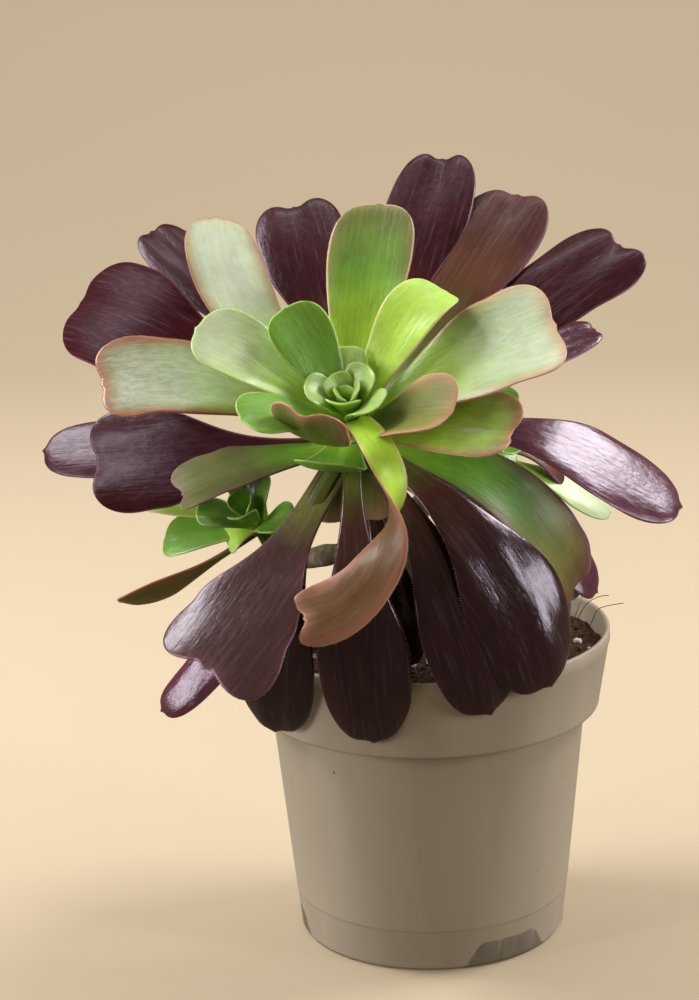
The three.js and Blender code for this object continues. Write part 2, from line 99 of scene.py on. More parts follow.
# Leaf pigments, as they look in daylight (sRGB, 0 to 255). The silvery grey-green one is painted sheen,
# standing in for the lamps' reflection on waxy leaves.
PIGMENTS = {
    "lime": (172, 210, 62), "spring": (178, 214, 104), "grass": (108, 156, 44), "moss": (70, 106, 32),
    "sage": (150, 184, 92), "painted_silver_sheen": (186, 200, 158), "olive": (98, 110, 44), "khaki": (126, 124, 66),
    "bronze": (98, 62, 42), "umber": (74, 44, 38), "slate": (70, 48, 46), "wine": (78, 32, 48),
    "plum": (52, 16, 23), "ink": (38, 15, 21), "maroon": (56, 13, 20), "tan": (108, 78, 50),
    "rose": (196, 136, 116), "rust": (150, 84, 56), "blush": (214, 178, 156),
    "mauve": (130, 84, 96), "pewter": (98, 104, 56), "brick": (92, 34, 34), "pale": (176, 204, 116),
}
# Tones: the pigments along the upper face, the one below, the one of the margin, how matte, how much painted
# sheen is mixed in, and how strongly the margin's pigment runs inwards
PLUM_STOPS = [(0, "olive"), (0.12, "bronze"), (0.3, "brick"), (0.6, "plum"), (1, "plum")]
TONES = {
    "plum": (PLUM_STOPS, "wine", "mauve", 0.6, 0, 0),
    "dusk": (PLUM_STOPS, "wine", "mauve", 1, 0, 0),
    "wine": ([(0, "olive"), (0.2, "bronze"), (0.4, "wine"), (1, "wine")], "wine", "mauve", 0.15, 0, 0.1),
    "ink": ([(0, "moss"), (0.15, "olive"), (0.32, "umber"), (0.55, "ink"), (1, "ink")],
            "maroon", "wine", 0, 0, 0),
    "bronze": ([(0, "lime"), (0.25, "olive"), (0.6, "bronze"), (0.85, "umber"), (1, "umber")],
               "bronze", "mauve", 0.7, 0, 0.2),
    "slate": ([(0, "olive"), (0.3, "khaki"), (0.5, "slate"), (1, "slate")], "slate", "mauve", 0.45, 0, 0.2),
    "maroon": ([(0, "bronze"), (0.3, "wine"), (0.6, "plum"), (1, "maroon")], "maroon", "mauve", 0.6, 0, 0),
    "frost": ([(0, "lime"), (0.3, "sage"), (0.6, "painted_silver_sheen"), (1, "painted_silver_sheen")], "sage", "rust", 0.4, 0.7, 0.6),
    "olive": ([(0, "lime"), (0.35, "lime"), (0.65, "grass"), (0.95, "olive"), (1, "olive")],
              "sage", "blush", 0.4, 0.05, 0.2),
    "lime": ([(0, "lime"), (0.5, "lime"), (1, "spring")], "spring", "blush", 0.5, 0, 0),
    "pearl": ([(0, "lime"), (0.5, "lime"), (0.75, "sage"), (1, "painted_silver_sheen")], "painted_silver_sheen", "rose", 0.35, 0.7, 0.6),
    "rusty": ([(0, "grass"), (0.3, "khaki"), (0.6, "sage"), (1, "khaki")], "khaki", "rust", 0.35, 0.8, 0.9),
    "fresh": ([(0, "lime"), (0.5, "spring"), (1, "painted_silver_sheen")], "spring", "pale", 0.3, 0.5, 0.1),
    "green": ([(0, "lime"), (0.4, "grass"), (1, "grass")], "grass", "pale", 0.3, 0.05, 0),
    "bud": ([(0, "lime"), (0.5, "spring"), (1, "sage")], "sage", "pale", 0.3, 0.2, 0),
    "heart": ([(0, "lime"), (0.6, "lime"), (0.85, "spring"), (1, "khaki")], "olive", "rose", 0.3, 0, 0.5),
    "copper": ([(0, "grass"), (0.4, "olive"), (1, "khaki")], "khaki", "rose", 0.8, 0, 0.5),
    "ribbon": ([(0, "lime"), (0.4, "lime"), (0.7, "olive"), (1, "khaki")], "tan", "rose", 0.6, 0, 0.4),
    "strap": ([(0, "lime"), (0.3, "grass"), (0.55, "moss"), (0.8, "khaki"), (1, "bronze")],
              "bronze", "mauve", 0.6, 0, 0.6),
    "pewter": ([(0, "lime"), (0.3, "grass"), (0.6, "pewter"), (1, "pewter")],
               "pewter", "mauve", 0.8, 0, 0.2),
}
PURPLE_TONES = ("plum", "dusk", "wine", "ink", "bronze", "slate", "maroon")


def leaf(turn, rise, down, length, width, bow, form, tone, **more):
    """Turn, rise, roll, bow, sway, twist and cup are degrees and mean what they mean in the CAD."""
    row = {"turn": turn, "rise": rise, "down": down, "length": length, "width": width, "bow": bow}
    row.update(form=form, tone=tone, out=LEAF_ROOT, roll=0, sway=(0, 0), twist=(0, 0), cup=form["cup"])
    row.update(more)
    return row


# How a leaf bends outwards over its thirds, in degrees
STRAIGHT = (0, 5, 10)
NODDING = (0, 30, 30)
HANGING = (30, 45, 30)
# Leaves of the big head, oldest first: those behind, at the left, in the skirt, at the right and the front
MATURE = [
    leaf(78, 15, 19, 113, 29, STRAIGHT, HEART, "plum", sway=(0, 8)),
    leaf(56, 15, 19, 104, 32, STRAIGHT, DIMPLED, "bronze", sway=(8, 8)),
    leaf(36, 15, 20, 106, 30, STRAIGHT, BROAD, "plum", sway=(5, 5)),
    leaf(42, 0, 27, 94, 16, STRAIGHT, DIMPLED, "wine"),
    leaf(160, 24, 20, 117, 37, NODDING, DIMPLED, "dusk", roll=-25),
    leaf(132, 10, 24, 118, 20, STRAIGHT, DIMPLED, "plum"),
    leaf(108, 15, 21, 95, 28, STRAIGHT, BROAD, "plum"),
    leaf(172, -5, 28, 110, 22, STRAIGHT, STALKED, "maroon", roll=-15),
    leaf(186, 0, 21, 84, 32, (0, 15, 0), BROAD, "maroon", roll=-40, cup=(20, -25)),
    leaf(251, 0, 19, 88, 35, STRAIGHT, WING, "slate", sway=(0, -15)),
    leaf(246, 0, 30, 106, 14, NODDING, STALKED, "wine", sway=(0, -15, -30)),
    leaf(251, 15, 20, 108, 29, HANGING, ARCHED, "ink"),
    leaf(277, 21, 19, 108, 29, HANGING, ARCHED, "ink"),
    leaf(303, 26, 21, 108, 28, HANGING, ARCHED, "ink"),
    leaf(289, 10, 24, 80, 18, HANGING, ARCHED, "ink"),
    leaf(317, 26, 19, 112, 36, HANGING, ARCHED, "ink"),
    leaf(332, -15, 24, 92, 22, NODDING, STALKED, "wine"),
    leaf(347, -10, 26, 92, 18, NODDING, STALKED, "wine"),
    leaf(335, 12, 25, 106, 22, HANGING, STALKED, "wine"),
    leaf(-1, 18, 19, 109, 27, (12, 45, 0), STALKED, "wine"),
    leaf(338, 20, 19, 104, 25, (20, 60, 35), STRAP, "strap"),
    leaf(202, 5, 20, 53, 27, STRAIGHT, STRAP, "pewter", roll=20),
    leaf(275, -10, 20, 24, 22, STRAIGHT, STRAP, "copper"),
]
YOUNG = [
    leaf(151, 25, 13, 88, 24, STRAIGHT, ROUND, "frost", sway=(-20, -32)),
    leaf(86, 27, 8, 70, 27, STRAIGHT, ROUND, "olive"),
    leaf(53, 38, 8, 51, 20, (0, 5, 70), ROUND, "lime"),
    leaf(19, 25, 13, 68, 38, STRAIGHT, FAN, "pearl"),
    leaf(174, 20, 12, 76, 30, STRAIGHT, FAN, "rusty", sway=(0, 25)),
    leaf(165, 35, 8, 52, 25, STRAIGHT, BLADE, "fresh"),
    leaf(134, 48, 5, 35, 20, STRAIGHT, ROUND, "green"),
    leaf(217, 38, 7, 38, 20, STRAIGHT, ROUND, "green"),
    leaf(250, 25, 9, 38, 25, (0, -50, -20), LOBED, "heart"),
    leaf(345, 22, 14, 55, 26, STRAIGHT, LOBED, "heart"),
    leaf(338, 40, 14, 42, 28, STRAIGHT, ROUND, "copper", cup=(50, 30)),
    leaf(300, 57, 8, 90, 17, (70, 60, 0), STRAP, "ribbon", sway=(0, 0, 60), twist=(0, -160, 0)),
    leaf(262, 5, 14, 30, 22, (0, -40, -30), ROUND, "green"),
]
BUD = {"count": 9, "first": 80, "down": 3, "youngest": (7, 6, 82), "oldest": (22, 16, 50)}
SHOOTS = {
    "shoot_left": {
        "head": {"tip": (-56, -5, 144), "lean": 50, "heading": 35},
        "core": 15,
        "stalk": (-28, 1, 128),
        "leaves": [
            leaf(182, 10, 5, 44, 9, STRAIGHT, BLADE, "lime"),
            leaf(200, 5, 7, 34, 17, STRAIGHT, ROUND, "green"),
            leaf(225, 15, 6, 12, 14, NODDING, ROUND, "lime"),
            leaf(222, -10, 9, 55, 15, (0, -10, -10), STALKED, "copper", roll=70),
        ],
        "spiral": {"count": 7, "first": 20, "down": 2, "youngest": (8, 7, 80), "oldest": (26, 15, 30)},
    },
    "shoot_right": {
        "head": {"tip": (20, 9, 166), "lean": 50, "heading": -40},
        "core": 15,
        "stalk": (0, 8, 143),
        "leaves": [
            leaf(60, 20, 5, 40, 12, STRAIGHT, BLADE, "green"),
            leaf(290, 10, 6, 14, 13, STRAIGHT, ROUND, "green"),
            leaf(328, 10, 7, 42, 12, NODDING, STALKED, "bronze"),
            leaf(320, 0, 9, 53, 15, STRAIGHT, STALKED, "fresh"),
        ],
        "spiral": {"count": 7, "first": 70, "down": 2, "youngest": (8, 7, 80), "oldest": (26, 15, 30)},
    },
}


def unit(v):
    v = np.asarray(v, float)
    return v / np.linalg.norm(v, axis=-1, keepdims=True)


def linear(rgb):
    """sRGB from 0 to 255 as linear light."""
    c = np.asarray(rgb, float) / 255
    return np.where(c < 0.04045, c / 12.92, ((c + 0.055) / 1.055) ** 2.4)


def paint(red, green, blue):
    """An sRGB colour as a shader's socket takes it."""
    return tuple(linear((red, green, blue)))


def pigment(name):
    return linear(PIGMENTS[name])


def smooth(low, high, x):
    t = np.clip((x - low) / (high - low), 0, 1)
    return t * t * (3 - 2 * t)


# Camera

def add_camera():
    elevation, roll = math.radians(VIEW["elevation"]), math.radians(VIEW["roll"])
    back = Vector((0, -math.cos(elevation), math.sin(elevation)))
    across = Vector((1, 0, 0))
    upright = back.cross(across)
    right = math.cos(roll) * across + math.sin(roll) * upright
    up = math.cos(roll) * upright - math.sin(roll) * across
    place = (Vector(VIEW["target"]) + VIEW["distance"] * back) * MM
    data = bpy.data.cameras.new("camera")
    data.lens, data.sensor_width = VIEW["lens"], VIEW["sensor"]
    camera = bpy.data.objects.new("camera", data)
    camera.matrix_world = Matrix.Translation(place) @ Matrix((right, up, back)).transposed().to_4x4()
    bpy.context.scene.collection.objects.link(camera)
    bpy.context.scene.camera = camera


add_camera()


# Meshes

def link_object(name, mesh):
    piece = bpy.data.objects.new(name, mesh)
    bpy.context.scene.collection.objects.link(piece)
    return piece


def mesh_of(name, points, quads):
    """A smooth mesh from points in mm and quads of their numbers."""
    mesh = bpy.data.meshes.new(name)
    mesh.from_pydata((np.asarray(points, float) * MM).tolist(), [], np.asarray(quads).tolist())
    mesh.shade_smooth()
    return mesh


def baked(piece):
    """The piece's mesh with its modifiers applied, in place of the piece's own."""
    bpy.context.view_layer.update()
    mesh = bpy.data.meshes.new_from_object(piece.evaluated_get(bpy.context.evaluated_depsgraph_get()))
    piece.modifiers.clear()
    piece.data = mesh
    return piece


def set_attribute(mesh, name, kind, values):
    values = np.asarray(values, np.float32)
    if kind == "FLOAT_COLOR":
        values = np.concatenate([values, np.ones((len(values), 1), np.float32)], axis=1)
    field = {"FLOAT": "value", "FLOAT_COLOR": "color", "FLOAT_VECTOR": "vector"}[kind]
    mesh.attributes.new(name, kind, "POINT").data.foreach_set(field, values.ravel())


# Node trees

def feed(tree, socket, value):
    """Links an output to a socket, or sets the socket's own value."""
    if isinstance(value, bpy.types.NodeSocket):
        tree.links.new(value, socket)
    elif socket.type == "RGBA":
        socket.default_value = (*value, 1)
    else:
        socket.default_value = value


def add_node(tree, kind, sockets=None, **settings):
    """A node with its settings, and for each socket a value or the output that feeds it."""
    node = tree.nodes.new(kind)
    for key, value in settings.items():
        setattr(node, key, value)
    for key, value in (sockets or {}).items():
        feed(tree, node.inputs[key], value)
    return node


def math_node(tree, operation, a, b=0.0):
    return add_node(tree, "ShaderNodeMath", {0: a, 1: b}, operation=operation).outputs[0]


def mixed(tree, share, a, b, blend="MIX"):
    """Two colours mixed by a share."""
    sockets = {0: share, 6: a, 7: b}
    return add_node(tree, "ShaderNodeMix", sockets, data_type="RGBA", blend_type=blend).outputs[2]


def ranged(tree, value, low, high, to_low=0.0, to_high=1.0):
    sockets = {"Value": value, "From Min": low, "From Max": high, "To Min": to_low, "To Max": to_high}
    return add_node(tree, "ShaderNodeMapRange", sockets, interpolation_type="SMOOTHSTEP").outputs[0]


def noise(tree, where, scale, detail=2.0, rough=0.5, stretch=(1, 1, 1)):
    if stretch != (1, 1, 1):
        where = add_node(tree, "ShaderNodeMapping", {"Vector": where, "Scale": stretch}).outputs[0]
    sockets = {"Vector": where, "Scale": scale, "Detail": detail, "Roughness": rough}
    return add_node(tree, "ShaderNodeTexNoise", sockets).outputs[0]


def attribute(tree, name, output="Fac"):
    return add_node(tree, "ShaderNodeAttribute", attribute_name=name).outputs[output]


def new_material(name):
    """A material, its node tree, its principled shader and Object coordinates."""
    material = bpy.data.materials.new(name)
    material.use_nodes = True
    tree = material.node_tree
    shader = tree.nodes["Principled BSDF"]
    return material, tree, shader, add_node(tree, "ShaderNodeTexCoord").outputs["Object"]


def set_shader(tree, shader, **sockets):
    for key, value in sockets.items():
        feed(tree, shader.inputs[key.replace("_", " ")], value)


def relief(tree, shader, *layers):
    """Bumps one over another, from (height, depth in mm)."""
    last = None
    for height, depth in layers:
        sockets = {"Height": height, "Distance": depth * MM, "Strength": 1.0}
        if last is not None:
            sockets["Normal"] = last
        last = add_node(tree, "ShaderNodeBump", sockets).outputs[0]
    tree.links.new(last, shader.inputs["Normal"])


# Materials

def leaf_skin(name, glow, lilac, gloss, streak_highlight):
    """Waxy leaf skin, with a painted sheen and painted highlight streaks mixed into its colour. The UV map is
    in mm, along and across the leaf.
    """
    material, tree, shader, _ = new_material(name)
    uv = add_node(tree, "ShaderNodeUVMap", uv_map="blade").outputs[0]
    streaks = noise(tree, uv, 1.0, 3, 0.6, (0.05, 0.9, 1))
    blotches = noise(tree, uv, 0.1, 3, 0.55)
    pebbles = noise(tree, uv, 1.0, 3, 0.55, (0.28, 0.55, 1))
    grain = noise(tree, uv, 3.5, 1, 0.5)
    tint = attribute(tree, "tint", "Color")
    shade = math_node(tree, "ADD", ranged(tree, streaks, 0.3, 0.7, 0.92, 1.05),
                      ranged(tree, blotches, 0.3, 0.7, -0.12, 0.14))
    grey = add_node(tree, "ShaderNodeCombineColor", {0: shade, 1: shade, 2: shade}).outputs[0]
    colour = mixed(tree, 1.0, tint, grey, "MULTIPLY")
    # Painted sheen: a pale grey-green mixed into the colour in a pebbled pattern, more where the leaf's tone
    # asks for it, standing in for the lamps' reflection on the waxy skin.
    sheen_pattern = ranged(tree, pebbles, 0.35, 0.65, 0.5, 0.85)
    frost = math_node(tree, "MULTIPLY", attribute(tree, "frost"), sheen_pattern)
    colour = mixed(tree, frost, colour, paint(204, 210, 200))
    # Painted highlight: a pale lilac-grey mixed into the colour along the lengthwise streaks, standing in for
    # the lamps' sheen.
    streak_highlight_share = ranged(tree, streaks, 0.5, 0.75, 0, streak_highlight)
    colour = mixed(tree, streak_highlight_share, colour, paint(172, 160, 172))
    rim = ranged(tree, attribute(tree, "rim"), 0.5, 0.1, 0, 0.6)
    colour = mixed(tree, rim, colour, attribute(tree, "edge_tint", "Color"))
    wax = attribute(tree, "wax")
    rough = math_node(tree, "ADD", ranged(tree, wax, 0, 1, gloss, gloss + 0.18),
                      ranged(tree, pebbles, 0.3, 0.7, -0.04, 0.06))
    set_shader(tree, shader, Base_Color=colour, Roughness=rough,
               Specular_IOR_Level=ranged(tree, wax, 0, 1, 0.55, 0.03),
               Specular_Tint=lilac, Coat_Weight=ranged(tree, wax, 0, 1, 0.2, 0), Coat_Roughness=0.16,
               Subsurface_Weight=glow, Subsurface_Radius=(1.0, 0.9, 0.25), Subsurface_Scale=1.6 * MM)
    relief(tree, shader, (pebbles, 0.16), (streaks, 0.09), (grain, 0.008))
    return material


def cilia_skin():
    material, tree, shader, where = new_material("leaf_fringe")
    colour = mixed(tree, noise(tree, where, 400), paint(236, 220, 205), paint(214, 170, 160))
    set_shader(tree, shader, Base_Color=colour, Roughness=0.5,
               Subsurface_Weight=0.2, Subsurface_Scale=0.3 * MM)
    return material


def pot_plastic():
    """Satin moulded polypropylene, with specks of soil, faint flow marks and scuffs."""
    material, tree, shader, where = new_material("taupe_plastic")
    flow = noise(tree, where, 60, 3, 0.5, (1, 1, 0.25))
    scuffs = noise(tree, where, 900, 4, 0.6, (1, 1, 0.4))
    colour = mixed(tree, ranged(tree, flow, 0.3, 0.7), paint(160, 147, 128), paint(168, 155, 136))
    specks = add_node(tree, "ShaderNodeTexVoronoi", {"Vector": where, "Scale": 120.0}).outputs["Distance"]
    rare = noise(tree, where, 55, 1)
    dirt = math_node(tree, "MULTIPLY", ranged(tree, specks, 0.07, 0.035), ranged(tree, rare, 0.62, 0.66))
    colour = mixed(tree, dirt, colour, paint(70, 52, 38))
    rough = ranged(tree, scuffs, 0.3, 0.7, 0.38, 0.5)
    set_shader(tree, shader, Base_Color=colour, Roughness=rough, Specular_IOR_Level=0.45)
    relief(tree, shader, (flow, 0.05), (scuffs, 0.008))
    return material


def bark():
    material, tree, shader, where = new_material("grey_bark")
    fibres = noise(tree, where, 500, 4, 0.65, (1, 1, 0.3))
    patches = noise(tree, where, 120, 3, 0.6)
    colour = mixed(tree, ranged(tree, patches, 0.35, 0.65), paint(120, 104, 80), paint(88, 84, 58))
    colour = mixed(tree, ranged(tree, fibres, 0.45, 0.7), colour, paint(150, 136, 110))
    set_shader(tree, shader, Base_Color=colour, Roughness=0.8, Specular_IOR_Level=0.3)
    relief(tree, shader, (fibres, 0.35), (patches, 0.5))
    return material


def earth(name, dark, light, size, depth):
    """Crumbly earth, grit or fibre in two colours."""
    material, tree, shader, where = new_material(name)
    crumbs = noise(tree, where, size, 5, 0.7)
    colour = mixed(tree, ranged(tree, crumbs, 0.38, 0.66), paint(*dark), paint(*light))
    set_shader(tree, shader, Base_Color=colour, Roughness=0.9, Specular_IOR_Level=0.25)
    relief(tree, shader, (crumbs, depth))
    return material


# The last number of each skin is how strongly its painted highlight streaks show.
SKIN = {
    "purple": leaf_skin("purple_leaf_skin", 0.06, (0.95, 0.82, 1.0), 0.2, 0.07),
    "green": leaf_skin("green_leaf_skin", 0.35, (1.0, 1.0, 1.0), 0.3, 0.06),
}
FRINGE = cilia_skin()
PLASTIC = pot_plastic()
BARK = bark()
PEAT = earth("peat", (34, 22, 15), (84, 55, 36), 700, 0.6)
CRUMB = earth("peat_crumb", (44, 28, 18), (98, 64, 40), 900, 0.2)
PERLITE = earth("perlite", (205, 196, 182), (238, 232, 222), 1500, 0.1)
FIBRE = earth("coir_fibre", (96, 58, 32), (150, 98, 58), 800, 0.05)


# Leaves

def head_frame(head):
    lean, heading = math.radians(head["lean"]), math.radians(head["heading"])
    level = math.cos(lean)
    axis = np.array([-math.sin(heading) * level, -math.cos(heading) * level, math.sin(lean)])
    right = unit(np.cross((0, 0, 1), axis))
    return {"tip": np.array(head["tip"], float), "axis": axis, "right": right, "up": np.cross(axis, right)}


def below(head, depth):
    return head["tip"] - depth * head["axis"]


def turned(v, about, angle):
    c, s = math.cos(angle), math.sin(angle)
    return v * c + np.cross(about, v) * s + about * np.dot(about, v) * (1 - c)


def bend_rate(parts, t):
    """The rate of a bend at t, from the degrees that it turns in equal stretches."""
    middles = (np.arange(len(parts)) + 0.5) / len(parts)
    return math.radians(np.interp(t, middles, parts) * len(parts))


def midrib(row, head, steps=30):
    """Points along the midrib, with the directions along it, out of the upper face and to its left."""
    turn, rise = math.radians(row["turn"]), math.radians(row["rise"])
    out = math.cos(turn) * head["right"] + math.sin(turn) * head["up"]
    along = math.cos(rise) * out + math.sin(rise) * head["axis"]
    face = math.cos(rise) * head["axis"] - math.sin(rise) * out
    left = np.cross(face, along)
    roll = math.radians(row["roll"])
    face, left = turned(face, along, roll), turned(left, along, roll)
    at = below(head, row["down"]) + row["out"] * out
    track = [(at, along, face, left)]
    for i in range(steps):
        t = (i + 0.5) / steps
        bow, sway, twist = [bend_rate(row[key], t) / steps for key in ("bow", "sway", "twist")]
        along, face = turned(along, left, bow), turned(face, left, bow)
        along, left = turned(along, face, sway), turned(left, face, sway)
        face, left = turned(face, along, twist), turned(left, along, twist)
        at = at + along * row["length"] / steps
        track.append((at, along, face, left))
    return [np.array(column) for column in zip(*track)]


def columns_of(count):
    """Places across the leaf from -1 to 1, closer together at the margins."""
    even = np.linspace(-1, 1, count)
    return np.sin(even * math.pi / 2) * 0.55 + even * 0.45


def outline(row, columns, blade_rows, tip_rows):
    """Flat points: x along the midrib and y to its left, with each one's distance from the margin."""
    form, half, length = row["form"], row["width"] / 2, row["length"]
    v = columns
    xs, ys, rims = [], [], []
    for t in np.linspace(0, 1, blade_rows + 1):
        swell = math.sin(math.pi / 2 * t ** form["flare"]) ** 1.6
        width = half * (form["base"] + (1 - form["base"]) * swell)
        xs.append(np.full_like(v, t * form["wide"] * length))
        ys.append(width * v)
        rims.append(width * (1 - np.abs(v)))
    cap = (1 - form["wide"]) * length
    for p in 1 - (1 - np.linspace(0, 1, tip_rows + 1)[1:]) ** 1.4:
        x, y = p * np.sqrt(1 - v * v / 2), v * np.sqrt(1 - p * p / 2)
        corner = 1 + form["square"] * (2 * x * y) ** 2
        dent = form["notch"] * p**2 * np.exp(-((y * corner / ENDING["dent"]) ** 2))
        point = form["point"] * p**4 * np.exp(-((y * corner / ENDING["point"]) ** 2))
        xs.append(form["wide"] * length + cap * (x * corner - dent + point))
        ys.append(half * y * corner)
        rims.append(np.minimum(half * (1 - np.abs(v)), np.full_like(v, cap * (1 - p))))
    return np.array(xs), np.array(ys), np.array(rims)


def ripples(row, share, across, seed):
    """Small waves of the blade and its margins, in mm."""
    length = row["length"]
    size = min(1, row["width"] / 25)
    phase = seed * 2.399
    middle = np.sin(share * length / RIPPLE["middle_length"] + phase) * np.cos(across * 2.2 + phase)
    middle = RIPPLE["middle"] * middle
    margin = np.sin(share * length / RIPPLE["margin_length"] + 1.7 * phase + 1.3 * np.sign(across))
    margin = RIPPLE["margin"] * margin * across**4
    folds = np.sin(across * RIPPLE["folds"] + phase + 2 * share) * (1 - across**4)
    folds = row["form"].get("folds", 0) * folds
    return size * smooth(0.15, 0.5, share) * (middle + margin + folds)


def between(share, places, values):
    """Values of three numbers, read between the places that they are given for."""
    return np.stack([np.interp(share, places, values[:, k]) for k in range(3)], -1)


def tint_along(stops, share):
    colours = np.array([pigment(name) for _, name in stops])
    return between(share, [place for place, _ in stops], colours)


def leaf_mesh(row, head, seed, columns, blade_rows, tip_rows):
    """A leaf as points, quads and what its skin reads, with its margin as a list of points."""
    x, y, rim = outline(row, columns_of(columns), blade_rows, tip_rows)
    share = x / row["length"]
    at, along, face, left = midrib(row, head)
    steps = np.linspace(0, 1, len(at))
    past = np.clip(share - 1, 0, None)[..., None] * row["length"]
    middle = between(share, steps, at) + past * along[-1]
    face, left = [unit(between(share, steps, way)) for way in (face, left)]
    half = row["width"] / 2
    across = y / half
    hollow = np.radians(row["cup"][0] + (row["cup"][1] - row["cup"][0]) * np.clip(share, 0, 1))
    hollow = np.where(np.abs(hollow) < 1e-3, 1e-3, hollow)
    angle = across * hollow
    channel = np.exp(-((across / ENDING["channel"]) ** 2)) * smooth(0.6, 1, share)
    channel = row["form"]["groove"] * channel * half
    lift = half / hollow * (1 - np.cos(angle)) - channel + ripples(row, share, across, seed)
    middle = middle + (half / hollow * np.sin(angle))[..., None] * left + lift[..., None] * face
    normal = face * np.cos(angle)[..., None] - left * np.sin(angle)[..., None]
    thick = THICK["base"] + (THICK["tip"] - THICK["base"]) * np.clip(share, 0, 1)
    thick = thick * (THICK["margin"] + (1 - THICK["margin"]) * np.clip(rim / THICK["fade"], 0, 1) ** 0.6)
    keel = ENDING["keel_height"] * np.exp(-((across / ENDING["keel"]) ** 2)) * np.clip(1.1 - share, 0, 1)
    upper = middle + normal * (thick / 2)[..., None]
    lower = middle - normal * (thick / 2 + keel)[..., None]

    rows, n = x.shape
    number = np.arange(rows * n).reshape(rows, n)
    border = np.concatenate([number[0, :-1], number[:-1, -1], number[-1, :0:-1], number[:0:-1, 0]])
    inside = np.concatenate([number[1, :-1], number[:-1, -2], number[-2, :0:-1], number[:0:-1, 1]])
    flat = middle.reshape(-1, 3)
    outward = unit(flat[border] - flat[inside])
    edge = flat[border] + outward * (thick.reshape(-1)[border] * 0.5)[:, None]
    points = np.concatenate([upper.reshape(-1, 3), lower.reshape(-1, 3), edge])
    a, b, c, d = number[:-1, :-1], number[1:, :-1], number[1:, 1:], number[:-1, 1:]
    top = np.stack([a, b, c, d], -1).reshape(-1, 4)
    bottom = np.stack([a, d, c, b], -1).reshape(-1, 4) + rows * n
    ring = 2 * rows * n + np.arange(len(border))
    after, ring_after = np.roll(border, -1), np.roll(ring, -1)
    sides = [np.stack([border, after, ring_after, ring], -1),
             np.stack([ring, ring_after, after + rows * n, border + rows * n], -1)]
    quads = np.concatenate([top, bottom, *sides])

    both = lambda a: np.concatenate([a, a, a[border]])
    stops, under, margin, wax, frost, band = TONES[row["tone"]]
    ripe = share + 0.1 * across**2 * smooth(0, 0.3, share)
    upper_tint = tint_along(stops, np.clip(ripe, 0, 1)).reshape(-1, 3)
    fade = smooth(0.1, 0.45, share).reshape(-1, 1)
    lower_tint = upper_tint * (1 - fade) + pigment(under) * fade
    tint = np.concatenate([upper_tint, lower_tint, upper_tint[border]])
    flat_rim = rim.reshape(-1)
    inward = band * smooth(0.3, 0.6, share) * np.exp(-((rim / BAND) ** 2))
    # Painted sheen: how much pale sheen is painted on, none at the base and less near the margin.
    painted_sheen_share = frost * smooth(0.35, 0.72, share) * (1 - 0.85 * np.exp(-((rim / BAND / 1.6) ** 2)))
    inward = both(inward.reshape(-1))[:, None]
    tint = tint * (1 - inward) + pigment(margin) * inward
    uv = np.stack([x + PATTERN["leaf"] * seed, y], -1).reshape(-1, 2)
    return {
        "points": points,
        "quads": quads,
        "tint": tint,
        "edge_tint": np.tile(pigment(margin), (len(points), 1)),
        "rim": np.concatenate([flat_rim, flat_rim, np.zeros(len(border))]),
        "wax": np.full(len(points), wax),
        "frost": both(painted_sheen_share.reshape(-1)),
        "uv": np.concatenate([uv, uv + (0, PATTERN["face"]), uv[border]]),
        "skin": np.full(len(quads), 0 if row["tone"] in PURPLE_TONES else 1),
        "margin": (edge[n - 1:-1], outward[n - 1:-1]),
    }


def tube_mesh(rings, sides, tone):
    """A closed tube through rings of (middle, direction, radius), in a leaf's tone."""
    points, quads = [], []
    for middle, along, radius in rings:
        side = unit(np.cross((1, 0.2, 0), along))
        other = np.cross(along, side)
        turns = np.arange(sides) * 2 * math.pi / sides
        points.append(middle + radius * (np.cos(turns)[:, None] * side + np.sin(turns)[:, None] * other))
    for ring in range(len(rings) - 1):
        for k in range(sides):
            a, b = ring * sides + k, ring * sides + (k + 1) % sides
            quads.append((a, b, b + sides, a + sides))
    points = np.concatenate([*points, [rings[0][0]], [rings[-1][0]]])
    first, last = len(points) - 2, len(points) - 1
    for k in range(0, sides, 2):
        quads.append((first, (k + 2) % sides, k + 1, k))
        base = (len(rings) - 1) * sides
        quads.append((last, base + k, base + k + 1, base + (k + 2) % sides))
    count = len(points)
    return {
        "points": points, "quads": np.array(quads), "tint": np.tile(pigment(tone), (count, 1)),
        "edge_tint": np.tile(pigment(tone), (count, 1)), "rim": np.full(count, 9.0),
        "wax": np.full(count, 0.8), "frost": np.zeros(count), "uv": points[:, [2, 0]],
        "skin": np.ones(len(quads), int), "margin": None,
    }


def core_mesh(head, start, stop, radius_start, radius_stop, tone):
    rings = []
    for t in np.linspace(0, 1, 7):
        radius = radius_start + (radius_stop - radius_start) * t
        rings.append((below(head, start + (stop - start) * t), head["axis"], radius))
    return tube_mesh(rings, 24, tone)


def spiral_leaves(count, first, down, youngest, oldest, tone):
    """Small leaves set by the golden angle, from the youngest in the middle to the oldest outside."""
    rows = []
    for i in range(count):
        age = i / (count - 1)
        length, width, rise = [a + (b - a) * age for a, b in zip(youngest, oldest)]
        turn, bow = first + GOLDEN_ANGLE * i, (0, 8, 16 * age)
        place = {"out": SHOOT_ROOT, "cup": (45, 30)}
        rows.append(leaf(turn, rise, down + 6 * age, length, width, bow, ROUND, tone, **place))
    return rows


def joined(name, parts):
    """One mesh of all the parts, and its quads."""
    starts = np.cumsum([0] + [len(p["points"]) for p in parts[:-1]])
    quads = np.concatenate([p["quads"] + start for p, start in zip(parts, starts)])
    return mesh_of(name, np.concatenate([p["points"] for p in parts]), quads), quads


